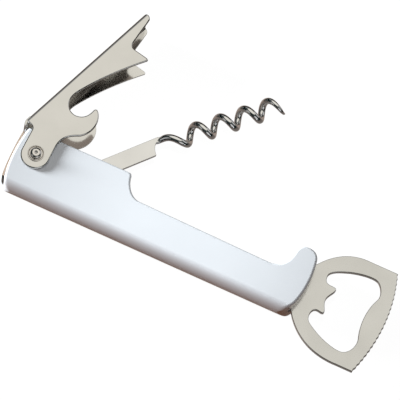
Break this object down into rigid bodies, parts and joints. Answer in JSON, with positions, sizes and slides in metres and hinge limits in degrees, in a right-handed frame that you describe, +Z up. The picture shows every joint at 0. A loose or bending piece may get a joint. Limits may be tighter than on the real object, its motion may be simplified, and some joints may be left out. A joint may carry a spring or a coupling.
{
  "type": "waiters corkscrew",
  "caption": "Folding waiters corkscrew with a slim plastic handle, channel-shaped boot lever, swinging wire worm and a crown-cap opener plate.",
  "frame": {"origin": "centre of the bounding box's footprint, at the plane the corkscrew lies on", "axes": "+X along the handle from the lever's end towards the opener plate, +Y from the handle's spine towards the side the tools open on, +Z up out of the front face"},
  "size_m": [0.1512, 0.0932, 0.0176],
  "materials": {
    "white_plastic": "smooth glossy white moulding",
    "lever_steel": "nickel-plated sheet, satin faces and bright edges",
    "plate_steel": "nickel-plated plate, satin faces and bright edges",
    "worm_steel": "bright plated wire and shank",
    "rivet_steel": "bright plated",
    "strap_steel": "plain bright strip",
    "inner_steel": "plain, unplated"
  },
  "bodies": {
    "handle": {"front_shell": "white_plastic", "rear_shell": "white_plastic", "front_liner": "inner_steel", "rear_liner": "inner_steel", "back_strap": "strap_steel", "strap_pin_left": "inner_steel", "strap_pin_right": "inner_steel", "opener_plate": "plate_steel", "opener_pin_upper": "inner_steel", "opener_pin_middle": "inner_steel", "opener_pin_lower": "inner_steel", "worm_pin": "inner_steel", "worm_sleeve_front": "inner_steel", "worm_sleeve_rear": "inner_steel", "lever_rivet": "rivet_steel", "lever_washer_front": "rivet_steel", "lever_washer_rear": "rivet_steel", "lever_sleeve": "inner_steel"},
    "lever": {"lever": "lever_steel"},
    "worm": {"worm": "worm_steel"}
  },
  "joints": [
    {"name": "lever_pivot", "type": "hinge", "parent": "handle", "child": "lever", "pos_m": [-0.0667, -0.02191, 0.0088], "axis": [0, 0, 1], "range_deg": [-69, 80]},
    {"name": "worm_pivot", "type": "hinge", "parent": "handle", "child": "worm", "pos_m": [-0.05505, -0.02826, 0.0088], "axis": [0, 0, 1], "range_deg": [-48.1, 56]}
  ],
  "couplings": [
    {"joint": "worm_pivot", "follows": "lever_pivot", "ratio": 0.6957}
  ]
}
